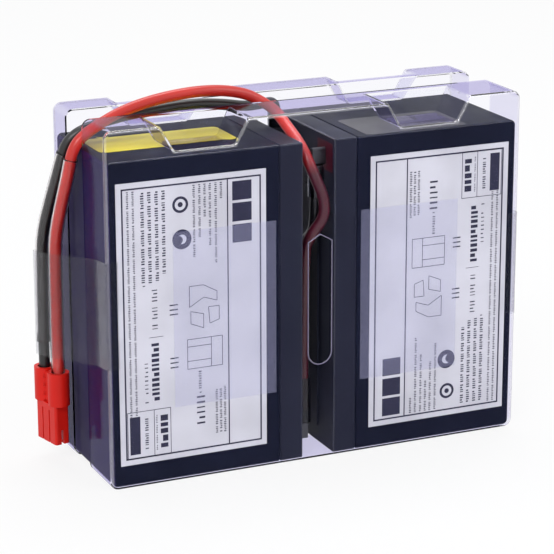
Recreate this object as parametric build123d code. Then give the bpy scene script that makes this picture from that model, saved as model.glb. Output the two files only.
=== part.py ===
import os
from math import cos, hypot, radians, sin, tan

from build123d import *

# Battery: a twelve volt brick that stands on its terminal end or its far end, lid sideways
battery_length = 151.0
battery_depth = 65.0
case_height = 82.4
lid_height = 11.6
battery_height = case_height + lid_height
lid_gap = 15.6
case_corner_radius = 1.0
case_base_radius = 2.4
seam_chamfer = 0.6
case_wall = 2.2
partition_wall = 1.6
case_floor = 2.4
cell_corner_radius = 1.0

# Cells: three along the battery, two across, with plates and lead straps
cells_along = 3
cells_across = 2
plate_clearance = 0.5
plate_headroom = 20.0
lug_height = 6.0
lug_width = 7.0
lug_thickness = 1.6
positive_lug_count = 4
negative_lug_count = 5
strap_width = 9.0
strap_height = 4.0
strap_inset = 8.9
strap_clearance = 0.2

# Lid: a shallow moulding with six valve chimneys under a flush cover
lid_wall = 2.2
lid_top_thickness = 3.4
cover_width = 33.0
cover_length = 116.0
cover_thickness = 1.6
cover_recess = 1.0
cover_shift = 10.0
cover_corner_radius = 2.0
cover_clearance = 0.1
cover_chamfer = 0.4
valve_pitch_across = 15.5
valve_pitch_along = 36.6
chimney_outer = 13.0
chimney_bore = 9.0
chimney_drop = 6.0
valve_hole = 4.0
cap_clearance = 0.1
cap_height = 5.2
cap_hollow = 6.2
cap_roof = 1.2

# Terminals: a tab on a round post, set in a coloured seal at the lid's end
tab_from_end = 9.5
tab_width = 6.3
tab_thickness = 0.8
tab_reach = 6.3
tab_chamfer = 1.0
terminal_offset = 22.5
post_diameter = 5.0
post_clearance = 0.2
seal_width = 16.0
seal_length = 13.6
seal_depth = 2.2
seal_corner_radius = 1.0

# Trays: thermoformed clear sheet, one from the front and one from the back
tray_wall = 0.8
tray_side_gap = 0.8
tray_headroom = 13.4
front_tray_depth = 28.0
rear_tray_depth = 17.4
tray_corner_radius = 4.0
tray_edge_radius = 1.4
pocket_centre = 55.8
pocket_floor_width = 28.6
pocket_drop = 11.6
pocket_side_slope = 0.57
pocket_rim_strip = 4.5
pocket_back_slope = 0.2
pocket_floor_radius = 2.0
pocket_top_radius = 1.5
slot_width = 11.2
slot_bottom = 46.7
slot_top = 108.4
slot_peak = 3.2
slot_lip = 0.5
slot_lip_reach = 0.7
cut_margin = 5.0

# Label, pad and stickers
label_thickness = 0.15
label_width = 71.9
label_length = 131.3
label_from_base = 3.7
label_from_far_end = 9.8
pad_thickness = 0.25
pad_width = 50.2
pad_height = 82.0
pad_from_lid = 13.6
sticker_thickness = 0.15
yellow_sticker_length = 66.0
yellow_sticker_width = 27.0
yellow_sticker_from_lid = 23.4
grey_sticker_length = 52.0
grey_sticker_width = 33.0
grey_sticker_from_lid = 17.0
grey_sticker_from_front = 1.0
sticker_corner_radius = 3.0

# Leads, sleeves, receptacles and boots
lead_diameter = 5.2
sleeve_gap = 0.15
sleeve_wall = 0.5
receptacle_length = 7.8
receptacle_depth = 6.6
receptacle_thickness = 2.4
receptacle_overhang = 0.5
receptacle_roll = 0.8
tab_clearance = 0.1
barrel_length = 7.0
barrel_wall = 0.5
barrel_gap = 0.1
barrel_stand = 4.5
barrel_root = 1.0
lead_entry = 5.5
boot_wall = 0.5
boot_gap = 0.1
boot_setback = 0.8
long_boot = 22.0
plain_boot = 14.0
short_boot = 6.2
sleeve_seat = 3.0
black_sleeve_end = 52.0

# Connector: two poles in one housing, beside the left tray
connector_top = 43.8
connector_bottom = 9.0
connector_ledge = 28.0
pole_diameter = 10.0
pole_pitch = 12.0
red_pole_from_side = 8.0
red_pole_y = 12.4
connector_turn = 12.5
pole_bore_depth = 8.0
pole_bore_gap = 0.1
web_thickness = 5.0
web_drop = 1.2
dent_count = 4
dent_pitch = 4.1
dent_from_top = 3.6
dent_width = 1.5
dent_height = 1.9
dent_depth = 0.5
dent_turn = 239.0
mating_length = 17.0
mating_thickness = 7.4
mating_corner_radius = 1.2
finger_count = 3
finger_groove = 0.9
finger_groove_depth = 0.8
finger_groove_stop = 3.0
finger_slot_width = 1.5
finger_slot_height = 7.0
contact_width = 3.0
contact_thickness = 1.4
contact_recess = 2.0
contact_gap = 0.15
contact_barrel_length = 7.0
contact_barrel_diameter = 4.4

# Tape strips on the two sides
tape_height = 49.8
tape_bottom = 57.4
tape_thickness = 0.2
tape_gap = 0.1
tape_front_reach = 5.2
tape_rear_reach = 20.0
tape_slope = 0.13
tape_lead_gap = 0.3
tape_leave_angle = 19.0
tape_return_angle = 64.0
tape_leave_radius = 12.0

# Sizes that follow from the ones above
face_gap = label_thickness + pad_thickness
tray_width = lid_gap + 2 * (battery_height + tray_side_gap + tray_wall)
tray_depth = battery_depth + 2 * (face_gap + tray_wall)
tray_height = battery_length + tray_headroom + 2 * tray_wall
battery_base_z = tray_wall
battery_top_z = battery_base_z + battery_length
battery_mid_z = battery_base_z + battery_length / 2
front_y = -tray_depth / 2
rear_y = tray_depth / 2
side_x = tray_width / 2
red_pole_x = -side_x - red_pole_from_side
lid_x = lid_gap / 2
case_face_y = -battery_depth / 2
cell_length = (battery_length - 2 * case_wall - (cells_along - 1) * partition_wall) / cells_along
cell_width = (battery_depth - 2 * case_wall - (cells_across - 1) * partition_wall) / cells_across
cell_pitch_z = cell_length + partition_wall
cell_pitch_y = cell_width + partition_wall
plate_pack_height = case_height - case_floor - plate_headroom
lug_base = case_floor + plate_pack_height
strap_base = lug_base + lug_height
partition_top = strap_base - strap_clearance
strap_top = strap_base + strap_height
strap_offset = cell_length / 2 - strap_inset
lid_inner_top = battery_height - lid_top_thickness
seal_base = battery_height - seal_depth
tab_z = -battery_length / 2 + tab_from_end
tab_top = battery_height + tab_reach
barrel_inner_radius = lead_diameter / 2 + barrel_gap
barrel_outer_radius = barrel_inner_radius + barrel_wall
sleeve_inner_radius = lead_diameter / 2 + sleeve_gap
sleeve_outer_radius = sleeve_inner_radius + sleeve_wall
black_pole_x = red_pole_x - pole_pitch * sin(radians(connector_turn))
black_pole_y = red_pole_y + pole_pitch * cos(radians(connector_turn))
pole_bore_floor = connector_top - pole_bore_depth

os.makedirs("parts", exist_ok=True)


def save(name, *shapes):
    shape = shapes[0] if len(shapes) == 1 else Compound(shapes)
    export_step(shape, f"parts/{name}.step")


def place_left(shape):
    return Pos(-lid_x - battery_height, 0, battery_mid_z) * shape


def place_right(shape):
    return Pos(lid_x + battery_height, 0, battery_mid_z) * Rot(0, 180, 0) * shape


def section(x, width, length, radius=0.0, y=0.0, z=0.0):
    """A flat section across the battery at height x: width along Y, length along Z."""
    plane = Plane(origin=(x, y, z), x_dir=(0, 1, 0), z_dir=(1, 0, 0))
    outline = RectangleRounded(width, length, radius) if radius else Rectangle(width, length)
    return plane * outline


def bar(x, height, width, length, y=0.0, z=0.0, radius=0.0):
    return extrude(section(x, width, length, radius, y, z), height)


def post(x, height, diameter, y=0.0, z=0.0):
    plane = Plane(origin=(x, y, z), x_dir=(0, 1, 0), z_dir=(1, 0, 0))
    return extrude(plane * Circle(diameter / 2), height)


def cell_centres():
    rows = [(row - (cells_across - 1) / 2) * cell_pitch_y for row in range(cells_across)]
    columns = [(column - (cells_along - 1) / 2) * cell_pitch_z for column in range(cells_along)]
    return [(y, z) for y in rows for z in columns]


# Battery case: open box with a wall between the cells, each cell a pocket from above
def make_case():
    case = bar(0, case_height, battery_depth, battery_length)
    base = case.faces().sort_by(Axis.X)[0]
    case = fillet(base.edges().filter_by(Axis.Y), case_base_radius)
    for end in (0, -1):
        face = case.faces().sort_by(Axis.Y)[end]
        outline = [edge for edge in face.edges() if edge.center().X < case_height - seam_chamfer]
        case = fillet(outline, case_corner_radius)
    for y, z in cell_centres():
        case -= bar(case_floor, case_height, cell_width, cell_length, y, z, radius=cell_corner_radius)
    inner_width = battery_depth - 2 * case_wall
    inner_length = battery_length - 2 * case_wall
    case -= bar(partition_top, case_height, inner_width, inner_length, radius=cell_corner_radius)
    rim = case.faces().sort_by(Axis.X)[-1]
    return chamfer(rim.outer_wire().edges(), seam_chamfer)


def make_plate_packs():
    packs = []
    pack_length = cell_length - 2 * plate_clearance
    pack_width = cell_width - 2 * plate_clearance
    for y, z in cell_centres():
        pack = bar(case_floor, plate_pack_height, pack_width, pack_length, y, z)
        for side, count in ((-1, positive_lug_count), (1, negative_lug_count)):
            pitch = (pack_width - 2 * lug_thickness) / count
            for index in range(count):
                lug_y = y + (index - (count - 1) / 2) * pitch
                pack += bar(lug_base, lug_height, lug_thickness, lug_width, lug_y, z + side * strap_offset)
        packs.append(pack)
    return packs


# Lead straps: the cells run down one row and back along the other, so both posts end up together
def make_cell_straps():
    near_y, far_y = -cell_pitch_y / 2, cell_pitch_y / 2
    bar_width = cell_width - 2 * plate_clearance
    first_z, last_z = -cell_pitch_z - strap_offset, cell_pitch_z + strap_offset
    straps = []
    for y in (near_y, far_y):
        straps.append(bar(strap_base, strap_height, bar_width, strap_width, y, first_z))
        for wall in (-0.5, 0.5):
            bridge_z = wall * cell_pitch_z
            reach = cell_pitch_z - 2 * strap_offset
            strap = bar(strap_base, strap_height, bar_width, strap_width, y, bridge_z - reach / 2)
            strap += bar(strap_base, strap_height, bar_width, strap_width, y, bridge_z + reach / 2)
            strap += bar(strap_base, strap_height, bar_width / 2, reach, y, bridge_z)
            straps.append(strap)
    straps.append(bar(strap_base, strap_height, bar_width + cell_pitch_y, strap_width, 0, last_z))
    return straps


def valve_centres():
    rows = [-valve_pitch_across / 2, valve_pitch_across / 2]
    return [(y, cover_shift + column * valve_pitch_along) for y in rows for column in (-1, 0, 1)]


# Lid: rim wall, top plate, chimneys, the seat of the cover and the seats of the two terminal seals
def make_lid():
    lid = bar(case_height, lid_height, battery_depth, battery_length, radius=case_corner_radius)
    top_face = lid.faces().sort_by(Axis.X)[-1]
    lid = fillet(top_face.edges(), seam_chamfer)
    seam_face = lid.faces().sort_by(Axis.X)[0]
    lid = chamfer(seam_face.edges(), seam_chamfer)
    hollow_width = battery_depth - 2 * lid_wall
    hollow_length = battery_length - 2 * lid_wall
    hollow_height = lid_inner_top - case_height
    lid -= bar(case_height, hollow_height, hollow_width, hollow_length, radius=cell_corner_radius)
    for y, z in valve_centres():
        lid += post(lid_inner_top - chimney_drop, chimney_drop, chimney_outer, y, z)
    seat_x = battery_height - cover_recess
    lid -= bar(seat_x, cover_recess, cover_width, cover_length, 0, cover_shift, radius=cover_corner_radius)
    for y, z in valve_centres():
        lid -= post(seat_x - cap_height, cap_height, chimney_bore, y, z)
        lid -= post(lid_inner_top - chimney_drop, battery_height, valve_hole, y, z)
    for side in (-1, 1):
        y = side * terminal_offset
        lid -= bar(seal_base, seal_depth, seal_width, seal_length, y, tab_z, radius=seal_corner_radius)
        lid -= post(lid_inner_top, lid_top_thickness, post_diameter + 2 * post_clearance, y, tab_z)
    return lid


def make_vent_cover():
    width = cover_width - 2 * cover_clearance
    length = cover_length - 2 * cover_clearance
    radius = cover_corner_radius - cover_clearance
    seat_x = battery_height - cover_recess
    cover = bar(seat_x, cover_thickness, width, length, 0, cover_shift, radius=radius)
    top_face = cover.faces().sort_by(Axis.X)[-1]
    return chamfer(top_face.edges(), cover_chamfer)


def make_vent_caps():
    caps = []
    seat_x = battery_height - cover_recess - cap_height
    for y, z in valve_centres():
        cap = post(seat_x, cap_height, chimney_bore - 2 * cap_clearance, y, z)
        cap -= post(seat_x, cap_height - cap_roof, cap_hollow, y, z)
        caps.append(cap)
    return caps


def make_seal(side):
    y = side * terminal_offset
    seal = bar(seal_base, seal_depth, seal_width, seal_length, y, tab_z, radius=seal_corner_radius)
    slit_width, slit_length = tab_thickness + post_clearance, tab_width + post_clearance
    return seal - bar(seal_base, seal_depth, slit_width, slit_length, y, tab_z)


def make_terminal(side):
    y = side * terminal_offset
    terminal = post(strap_top, seal_base - strap_top, post_diameter, y, tab_z)
    blade = bar(seal_base, tab_top - seal_base, tab_thickness, tab_width, y, tab_z)
    end_edges = blade.faces().sort_by(Axis.X)[-1].edges().filter_by(Axis.Y)
    blade = chamfer(end_edges, tab_chamfer)
    return terminal + blade


# Flag receptacle: a rolled box round the tab with its barrel square to the tab, along Z
def make_receptacle(side, barrel_way):
    y = side * terminal_offset
    box_x = tab_top - receptacle_depth + receptacle_overhang
    shell = bar(
        box_x, receptacle_depth, receptacle_thickness, receptacle_length, y, tab_z, radius=receptacle_roll
    )
    shell -= bar(box_x, receptacle_depth, tab_thickness + tab_clearance, tab_width + tab_clearance, y, tab_z)
    barrel_z = tab_z + barrel_way * receptacle_length / 2
    barrel_plane = Plane(origin=(battery_height + barrel_stand, y, barrel_z), z_dir=(0, 0, barrel_way))
    barrel = extrude(barrel_plane * Circle(barrel_outer_radius), barrel_length)
    barrel -= extrude(barrel_plane.offset(barrel_root) * Circle(barrel_inner_radius), barrel_length)
    return shell + barrel


def make_boot(side, barrel_way, length):
    y = side * terminal_offset
    start = tab_z + barrel_way * (receptacle_length / 2 + boot_setback)
    plane = Plane(origin=(battery_height + barrel_stand, y, start), z_dir=(0, 0, barrel_way))
    inner = barrel_outer_radius + boot_gap
    boot = extrude(plane * Circle(inner + boot_wall), length)
    return boot - extrude(plane * Circle(inner), length)


# Tray form: the outside of the sheet, or its inside when drawn smaller by the wall
def pocket_frustum(depth, inset):
    side_grow = hypot(1, pocket_side_slope) * inset
    back_grow = hypot(1, pocket_back_slope) * inset
    floor_z = tray_height - pocket_drop
    top_back = depth - pocket_rim_strip
    levels = []
    for z in (floor_z - inset, tray_height + cut_margin):
        half_width = pocket_floor_width / 2 + pocket_side_slope * (z - floor_z) + side_grow
        back = top_back + pocket_back_slope * (z - tray_height) + back_grow
        levels.append(Pos(0, (back - cut_margin) / 2, z) * Rectangle(2 * half_width, back + cut_margin))
    frustum = loft(levels)
    floor_edges = frustum.faces().sort_by(Axis.Z)[0].edges()
    side_edges = floor_edges.filter_by(Axis.Y)
    return fillet(side_edges, pocket_floor_radius + inset)


def tray_form(depth, inset):
    height = tray_height - 2 * inset
    plane = Plane(origin=(0, inset, tray_height / 2), x_dir=(1, 0, 0), z_dir=(0, 1, 0))
    outline = RectangleRounded(tray_width - 2 * inset, height, tray_corner_radius - inset)
    form = extrude(plane * outline, depth - inset + (cut_margin if inset else 0.0))
    for side in (-1, 1):
        form -= Pos(side * pocket_centre, 0, 0) * pocket_frustum(depth, inset)
    top_face_z = tray_height - inset
    top_edges = [
        edge
        for edge in form.edges()
        if abs(edge.center().Z - top_face_z) < 0.01
        and edge.bounding_box().size.X < 0.01
        and edge.length < depth - 1.0
    ]
    form = fillet(top_edges, pocket_top_radius + inset)
    front_face = form.faces().sort_by(Axis.Y)[0]
    return fillet(front_face.outer_wire().edges(), tray_edge_radius - inset)


def slot_outline(grow=0.0):
    half = slot_width / 2 + grow
    low = slot_bottom + slot_width / 2
    shoulder = slot_top - slot_peak
    sides = Polyline((half, low), (half, shoulder), (0, slot_top + grow), (-half, shoulder), (-half, low))
    base = ThreePointArc((-half, low), (0, slot_bottom - grow), (half, low))
    return make_face([sides, base])


def make_front_tray():
    tray = tray_form(front_tray_depth, 0.0) - tray_form(front_tray_depth, tray_wall)
    slot_face = Plane.XZ * slot_outline()
    lip_face = Plane.XZ * slot_outline(slot_lip)
    tray += extrude(lip_face, slot_lip_reach, dir=(0, -1, 0))
    tray -= extrude(slot_face, slot_lip_reach + tray_wall, dir=(0, -1, 0), both=True)
    return Pos(0, front_y, 0) * tray


def make_rear_tray():
    tray = tray_form(rear_tray_depth, 0.0) - tray_form(rear_tray_depth, tray_wall)
    return Pos(0, rear_y, 0) * Rot(0, 0, 180) * tray


# Label, adhesive pad and stickers
def make_label():
    z = battery_length / 2 - label_from_far_end - label_length / 2
    x = label_from_base + label_width / 2
    plane = Plane(origin=(x, case_face_y, z), x_dir=(1, 0, 0), z_dir=(0, -1, 0))
    return extrude(plane * Rectangle(label_width, label_length), label_thickness)


def make_pad():
    x = battery_height - pad_from_lid - pad_width / 2
    plane = Plane(origin=(x, case_face_y - label_thickness, 0), x_dir=(1, 0, 0), z_dir=(0, -1, 0))
    return extrude(plane * Rectangle(pad_width, pad_height), pad_thickness)


def make_sticker(x, y, length, width):
    plane = Plane.XY.offset(battery_top_z)
    outline = RectangleRounded(length, width, sticker_corner_radius)
    return extrude(plane * Pos(x, y) * outline, sticker_thickness)


# Leads: each route is a list of points joined by runs and tangent arcs
def corner_radii(points):
    radii = []
    for before, corner, after in zip(points, points[1:], points[2:]):
        first = Vector(*corner) - Vector(*before)
        second = Vector(*after) - Vector(*corner)
        turn = radians(first.get_angle(second))
        radii.append(0.45 * min(first.length, second.length) / tan(turn / 2))
    return radii


def route(name, points):
    radii = corner_radii(points)
    path = FilletPolyline(*points, radius=radii)
    print(name, "length", round(path.length, 1), "radii", [round(radius, 1) for radius in radii])
    return path


def tube(path, outer_radius, inner_radius=0.0):
    start = Plane(origin=path @ 0, z_dir=path % 0)
    solid = sweep(start * Circle(outer_radius), path=path)
    if inner_radius:
        solid -= sweep(start * Circle(inner_radius), path=path)
    return solid


lead_x = lid_x - barrel_stand
receptacle_end = tab_from_end + receptacle_length / 2
left_barrel_z = battery_base_z + receptacle_end
right_barrel_z = battery_top_z - receptacle_end
right_up_barrel_z = battery_top_z - tab_from_end + receptacle_length / 2
red_points = [
    (-lead_x, -terminal_offset, left_barrel_z + barrel_length - lead_entry),
    (-lead_x, -terminal_offset, 96.0),
    (-1.4, -26.2, 106.0),
    (4.4, -29.6, 115.0),
    (3.9, -29.7, 124.5),
    (0.2, -29.6, 133.0),
    (-2.6, -28.6, 140.0),
    (-3.6, -24.5, 145.6),
    (-3.9, -17.0, 149.8),
    (-4.4, -5.0, 154.9),
    (-5.4, 1.0, 158.3),
    (-10.5, 5.0, 163.0),
    (-20.0, 6.4, 168.4),
    (-38.0, 4.6, 171.6),
    (-60.0, 3.0, 170.7),
    (-80.0, 2.0, 166.8),
    (-95.0, 1.0, 160.2),
    (-side_x - 2.2, -0.6, 153.6),
    (-side_x - 4.2, 1.5, 140.0),
    (-side_x - 6.2, 6.4, 125.0),
    (-side_x - 7.6, 11.0, 111.0),
    (red_pole_x, red_pole_y, 98.0),
    (red_pole_x, red_pole_y, pole_bore_floor),
]
black_points = [
    (lead_x, terminal_offset, right_up_barrel_z + barrel_length - lead_entry),
    (lead_x, terminal_offset, 155.5),
    (0.65, 20.4, 159.3),
    (-6.0, 15.6, 159.8),
    (-16.0, 12.4, 160.0),
    (-28.0, 11.2, 162.6),
    (-44.0, 10.6, 164.4),
    (-66.0, 10.0, 163.2),
    (-88.0, 9.4, 160.4),
    (-side_x - 1.4, 9.2, 155.0),
    (-side_x - 4.6, 12.0, 141.0),
    (-side_x - 7.2, 17.5, 125.5),
    (-side_x - 9.4, 22.4, 111.5),
    (black_pole_x, black_pole_y, 98.0),
    (black_pole_x, black_pole_y, pole_bore_floor),
]
jumper_points = [
    (-lead_x, terminal_offset, left_barrel_z + barrel_length - lead_entry),
    (-lead_x, terminal_offset, 66.0),
    (-0.8, 15.0, 82.0),
    (1.6, -2.0, 95.0),
    (lead_x - 0.2, -18.0, 103.0),
    (lead_x, -terminal_offset, 113.0),
    (lead_x, -terminal_offset, right_barrel_z - barrel_length + lead_entry),
]


# Sleeve: a thin tube round the lead, from halfway along its first run outside the trays
def make_sleeve(points, end_z):
    outside = next(index for index, point in enumerate(points) if point[0] < -side_x)
    start = tuple((a + b) / 2 for a, b in zip(points[outside], points[outside + 1]))
    end = (points[-1][0], points[-1][1], end_z)
    path = FilletPolyline(
        start,
        *points[outside + 1 : -1],
        end,
        radius=corner_radii(points)[outside:],
    )
    return tube(path, sleeve_outer_radius, sleeve_inner_radius)


# Connector: two round poles above, a flat mating block with fingers below
def connector_place():
    middle_x = (red_pole_x + black_pole_x) / 2
    middle_y = (red_pole_y + black_pole_y) / 2
    return Pos(middle_x, middle_y, 0) * Rot(0, 0, connector_turn)


def make_connector_housing():
    pole_height = connector_top - connector_ledge
    web = Pos(0, 0, connector_ledge) * Rectangle(web_thickness, pole_pitch)
    housing = extrude(web, pole_height - web_drop)
    for y in (-pole_pitch / 2, pole_pitch / 2):
        housing += Pos(0, y, connector_ledge) * extrude(Circle(pole_diameter / 2), pole_height)
    for index in range(dent_count):
        dent = Pos(pole_diameter / 2, 0, 0) * Box(2 * dent_depth, dent_width, dent_height)
        dent_z = connector_top - dent_from_top - index * dent_pitch
        housing -= Pos(0, pole_pitch / 2, dent_z) * Rot(0, 0, dent_turn) * dent
    mating_height = connector_ledge - connector_bottom
    outline = Rectangle(mating_thickness, mating_length)
    block = extrude(Plane.XY.offset(connector_bottom) * outline, mating_height)
    block = fillet(block.edges().filter_by(Axis.Z), mating_corner_radius)
    for side in (-1, 1):
        for index in range(1, finger_count):
            y = (index - finger_count / 2) * mating_length / finger_count
            x = side * mating_thickness / 2
            groove = Pos(x, y, connector_bottom) * Box(
                2 * finger_groove_depth, finger_groove, 2 * (mating_height - finger_groove_stop)
            )
            block -= groove
    slot = Pos(0, 0, connector_bottom) * Box(finger_slot_width, mating_length + cut_margin, 2 * finger_slot_height)
    housing += block
    housing -= slot
    bore_radius = sleeve_outer_radius + pole_bore_gap
    shoulder = pole_bore_floor - contact_barrel_length
    for y in (-pole_pitch / 2, pole_pitch / 2):
        housing -= Pos(0, y, pole_bore_floor) * extrude(Circle(bore_radius), pole_bore_depth)
        housing -= Pos(0, y, shoulder) * extrude(
            Circle(contact_barrel_diameter / 2 + contact_gap), contact_barrel_length
        )
        housing -= Pos(0, y, connector_bottom) * extrude(
            Rectangle(contact_thickness + 2 * contact_gap, contact_width + 2 * contact_gap),
            shoulder - connector_bottom,
        )
    return connector_place() * housing


def make_connector_contacts():
    contacts = []
    shoulder = pole_bore_floor - contact_barrel_length
    blade_bottom = connector_bottom + contact_recess
    for y in (-pole_pitch / 2, pole_pitch / 2):
        contact = Pos(0, y, shoulder) * extrude(Circle(contact_barrel_diameter / 2), contact_barrel_length)
        contact += Pos(0, y, blade_bottom) * extrude(
            Rectangle(contact_thickness, contact_width), shoulder - blade_bottom
        )
        contacts.append(connector_place() * contact)
    return contacts


# Tape: a ribbon that follows its plan path; the left one bulges over the two leads
def ribbon(points, radii, bottom, height):
    path = FilletPolyline(*points, radius=radii)
    start = path @ 0
    heading = path % 0
    plane = Plane(origin=start, x_dir=Vector(0, 0, 1).cross(heading), z_dir=heading)
    strip = sweep(plane * Rectangle(tape_thickness, height), path=path)
    return Pos(0, 0, bottom + height / 2) * strip


def make_right_tape():
    offset = tape_gap + tape_thickness / 2
    front, rear, side = front_y - offset, rear_y + offset, side_x + offset
    points = [
        (side_x - tape_front_reach, front, 0),
        (side, front, 0),
        (side, rear, 0),
        (side_x - tape_rear_reach, rear, 0),
    ]
    return ribbon(points, tray_edge_radius + offset, tape_bottom, tape_height)


def straight(normal_angle, x, y, distance):
    """A line in plan: its outward normal and how far out it lies from a point."""
    nx, ny = cos(radians(normal_angle)), sin(radians(normal_angle))
    return nx, ny, nx * x + ny * y + distance


def meet(first, second):
    a, b, c = first
    d, e, f = second
    scale = a * e - b * d
    return ((c * e - b * f) / scale, (a * f - c * d) / scale, 0)


def make_left_tape():
    offset = tape_gap + tape_thickness / 2
    bulge = sleeve_outer_radius + tape_lead_gap + tape_thickness / 2
    front = straight(-90, 0, front_y, offset)
    side = straight(180, -side_x, 0, offset)
    leaving = straight(180 + tape_leave_angle, red_pole_x, red_pole_y, bulge)
    along = straight(180 + connector_turn, black_pole_x, black_pole_y, bulge)
    returning = straight(180 - tape_return_angle, black_pole_x, black_pole_y, bulge)
    rear = straight(90, 0, rear_y, offset)
    front_end = straight(0, -side_x + tape_front_reach, 0, 0)
    rear_end = straight(0, -side_x + tape_rear_reach, 0, 0)
    lines = [front_end, front, side, leaving, along, returning, rear, rear_end]
    points = [meet(first, second) for first, second in zip(lines, lines[1:])]
    corner = tray_edge_radius + offset
    radii = [corner, tape_leave_radius, bulge, bulge, corner]
    near, far = front_y - cut_margin, rear_y + cut_margin
    near_edge = tape_bottom - tape_slope * (near - front_y)
    far_edge = tape_bottom - tape_slope * (far - front_y)
    strip = ribbon(points, radii, far_edge, near_edge + tape_height - far_edge)
    profile = Polyline(
        (near, near_edge),
        (far, far_edge),
        (far, far_edge + tape_height),
        (near, near_edge + tape_height),
        close=True,
    )
    window = extrude(Plane.YZ * make_face(profile), 2 * side_x, both=True)
    return strip & window


# Battery parts on both sides
for side_name, place in (("left", place_left), ("right", place_right)):
    save(f"{side_name}_case", place(make_case()))
    save(f"{side_name}_lid", place(make_lid()))
    save(f"{side_name}_vent_cover", place(make_vent_cover()))
    save(f"{side_name}_vent_caps", *[place(cap) for cap in make_vent_caps()])
    save(f"{side_name}_plate_packs", *[place(pack) for pack in make_plate_packs()])
    save(f"{side_name}_cell_straps", *[place(strap) for strap in make_cell_straps()])
    save(f"{side_name}_label", place(make_label()))
    save(f"{side_name}_adhesive_pad", place(make_pad()))
    for polarity, side in (("positive", -1), ("negative", 1)):
        save(f"{side_name}_terminal_{polarity}", place(make_terminal(side)))
        save(f"{side_name}_seal_{polarity}", place(make_seal(side)))

# Receptacles and boots: the barrel points along the battery, away from or towards its near end
for name, place, side, barrel_way, boot_length in (
    ("left_positive", place_left, -1, 1, long_boot),
    ("left_negative", place_left, 1, 1, plain_boot),
    ("right_positive", place_right, -1, 1, plain_boot),
    ("right_negative", place_right, 1, -1, short_boot),
):
    save(f"receptacle_{name}", place(make_receptacle(side, barrel_way)))
    save(f"boot_{name}", place(make_boot(side, barrel_way, boot_length)))

save("front_tray", make_front_tray())
save("rear_tray", make_rear_tray())
save("left_tape", make_left_tape())
save("right_tape", make_right_tape())

yellow_x = -(lid_x + yellow_sticker_from_lid + yellow_sticker_length / 2)
grey_x = lid_x + grey_sticker_from_lid + grey_sticker_length / 2
grey_y = case_face_y + grey_sticker_from_front + grey_sticker_width / 2
save("yellow_sticker", make_sticker(yellow_x, 0, yellow_sticker_length, yellow_sticker_width))
save("grey_sticker", make_sticker(grey_x, grey_y, grey_sticker_length, grey_sticker_width))

save("red_lead", tube(route("red_lead", red_points), lead_diameter / 2))
save("black_lead", tube(route("black_lead", black_points), lead_diameter / 2))
save("jumper_lead", tube(route("jumper_lead", jumper_points), lead_diameter / 2))
save("red_lead_sleeve", make_sleeve(red_points, connector_top - sleeve_seat))
save("black_lead_sleeve", make_sleeve(black_points, black_sleeve_end))

save("connector_housing", make_connector_housing())
save("connector_contacts", *make_connector_contacts())
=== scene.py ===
import math

import bmesh
import bpy
from mathutils import Matrix, Vector


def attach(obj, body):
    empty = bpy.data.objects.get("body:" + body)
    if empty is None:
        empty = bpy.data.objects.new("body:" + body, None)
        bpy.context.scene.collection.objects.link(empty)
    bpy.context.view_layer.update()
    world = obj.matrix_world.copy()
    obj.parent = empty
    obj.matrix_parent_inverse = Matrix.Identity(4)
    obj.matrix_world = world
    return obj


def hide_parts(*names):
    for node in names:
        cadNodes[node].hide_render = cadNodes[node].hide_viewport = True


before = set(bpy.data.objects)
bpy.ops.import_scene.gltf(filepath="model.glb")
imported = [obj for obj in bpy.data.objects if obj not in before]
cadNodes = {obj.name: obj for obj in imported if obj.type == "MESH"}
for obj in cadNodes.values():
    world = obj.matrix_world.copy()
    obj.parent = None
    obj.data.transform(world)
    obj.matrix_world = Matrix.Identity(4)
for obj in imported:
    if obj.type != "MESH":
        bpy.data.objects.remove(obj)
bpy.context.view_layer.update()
print("frame loaded,", len(cadNodes), "nodes")

mm = 0.001  # sizes below are in millimetres and reach the scene through this
farOut = 300.0 * mm  # past every side of the object


def addNode(tree, kind, x=0, y=0, **settings):
    node = tree.nodes.new(kind)
    node.location = (x, y)
    for key, value in settings.items():
        setattr(node, key, value)
    return node


def mathNode(tree, operation, first, second=0.0, x=0, y=0):
    node = addNode(tree, "ShaderNodeMath", x, y, operation=operation)
    for socket, value in zip(node.inputs, (first, second)):
        if isinstance(value, float):
            socket.default_value = value
        else:
            tree.links.new(value, socket)
    return node.outputs["Value"]


def objectPlace(tree, x, y):
    place = addNode(tree, "ShaderNodeTexCoord", x, y)
    split = addNode(tree, "ShaderNodeSeparateXYZ", x + 200, y)
    tree.links.new(place.outputs["Object"], split.inputs["Vector"])
    return split.outputs["X"], split.outputs["Y"], split.outputs["Z"]


def ramp(tree, source, low, high, outLow, outHigh, x=0, y=0):
    node = addNode(tree, "ShaderNodeMapRange", x, y, clamp=True)
    for label, value in (("From Min", low), ("From Max", high), ("To Min", outLow), ("To Max", outHigh)):
        node.inputs[label].default_value = value
    tree.links.new(source, node.inputs["Value"])
    return node.outputs["Result"]


def band(tree, source, low, high, soft, y):
    rise = ramp(tree, source, low - soft, low, 0.0, 1.0, -1300, y)
    fall = ramp(tree, source, high, high + soft, 1.0, 0.0, -1300, y - 150)
    return mathNode(tree, "MULTIPLY", rise, fall, -1100, y)


def colorMix(tree, factor, first, second, x=0, y=0):
    node = addNode(tree, "ShaderNodeMix", x, y, data_type="RGBA")
    tree.links.new(factor, node.inputs["Factor"])
    node.inputs["A"].default_value = (*first, 1)
    node.inputs["B"].default_value = (*second, 1)
    return node.outputs["Result"]


def mixShaders(tree, factor, first, second, surface):
    mix = addNode(tree, "ShaderNodeMixShader", 550, 0)
    tree.links.new(factor, mix.inputs["Fac"])
    tree.links.new(first, mix.inputs[1])
    tree.links.new(second, mix.inputs[2])
    tree.links.new(mix.outputs["Shader"], surface)


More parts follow.
